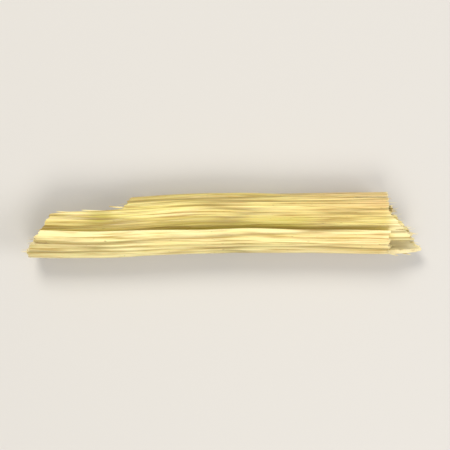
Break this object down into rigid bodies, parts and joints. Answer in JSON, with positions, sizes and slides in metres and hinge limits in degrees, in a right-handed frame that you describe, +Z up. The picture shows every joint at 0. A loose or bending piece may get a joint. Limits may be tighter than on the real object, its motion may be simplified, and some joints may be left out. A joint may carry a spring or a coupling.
{
  "type": "dried lemongrass stalk",
  "caption": "Cut length of dried lemongrass stalk lying on its side: ribbed leaf sheaths rolled one inside the other, with slanting, fibrous ends.",
  "frame": {"origin": "middle of the stalk's box, on the surface it lies on", "axes": "+X along the stalk towards the end with the slanting cut, +Y across it, to the side where the left end is broken back, +Z up"},
  "size_m": [0.0378, 0.0064, 0.0051],
  "materials": {
    "outer_leaf": "dried waxy leaf sheath, satin",
    "inner_leaf": "dried leaf sheath, satin"
  },
  "bodies": {
    "root": {"outer_sheath": "outer_leaf", "inner_sheath": "inner_leaf"}
  },
  "joints": []
}
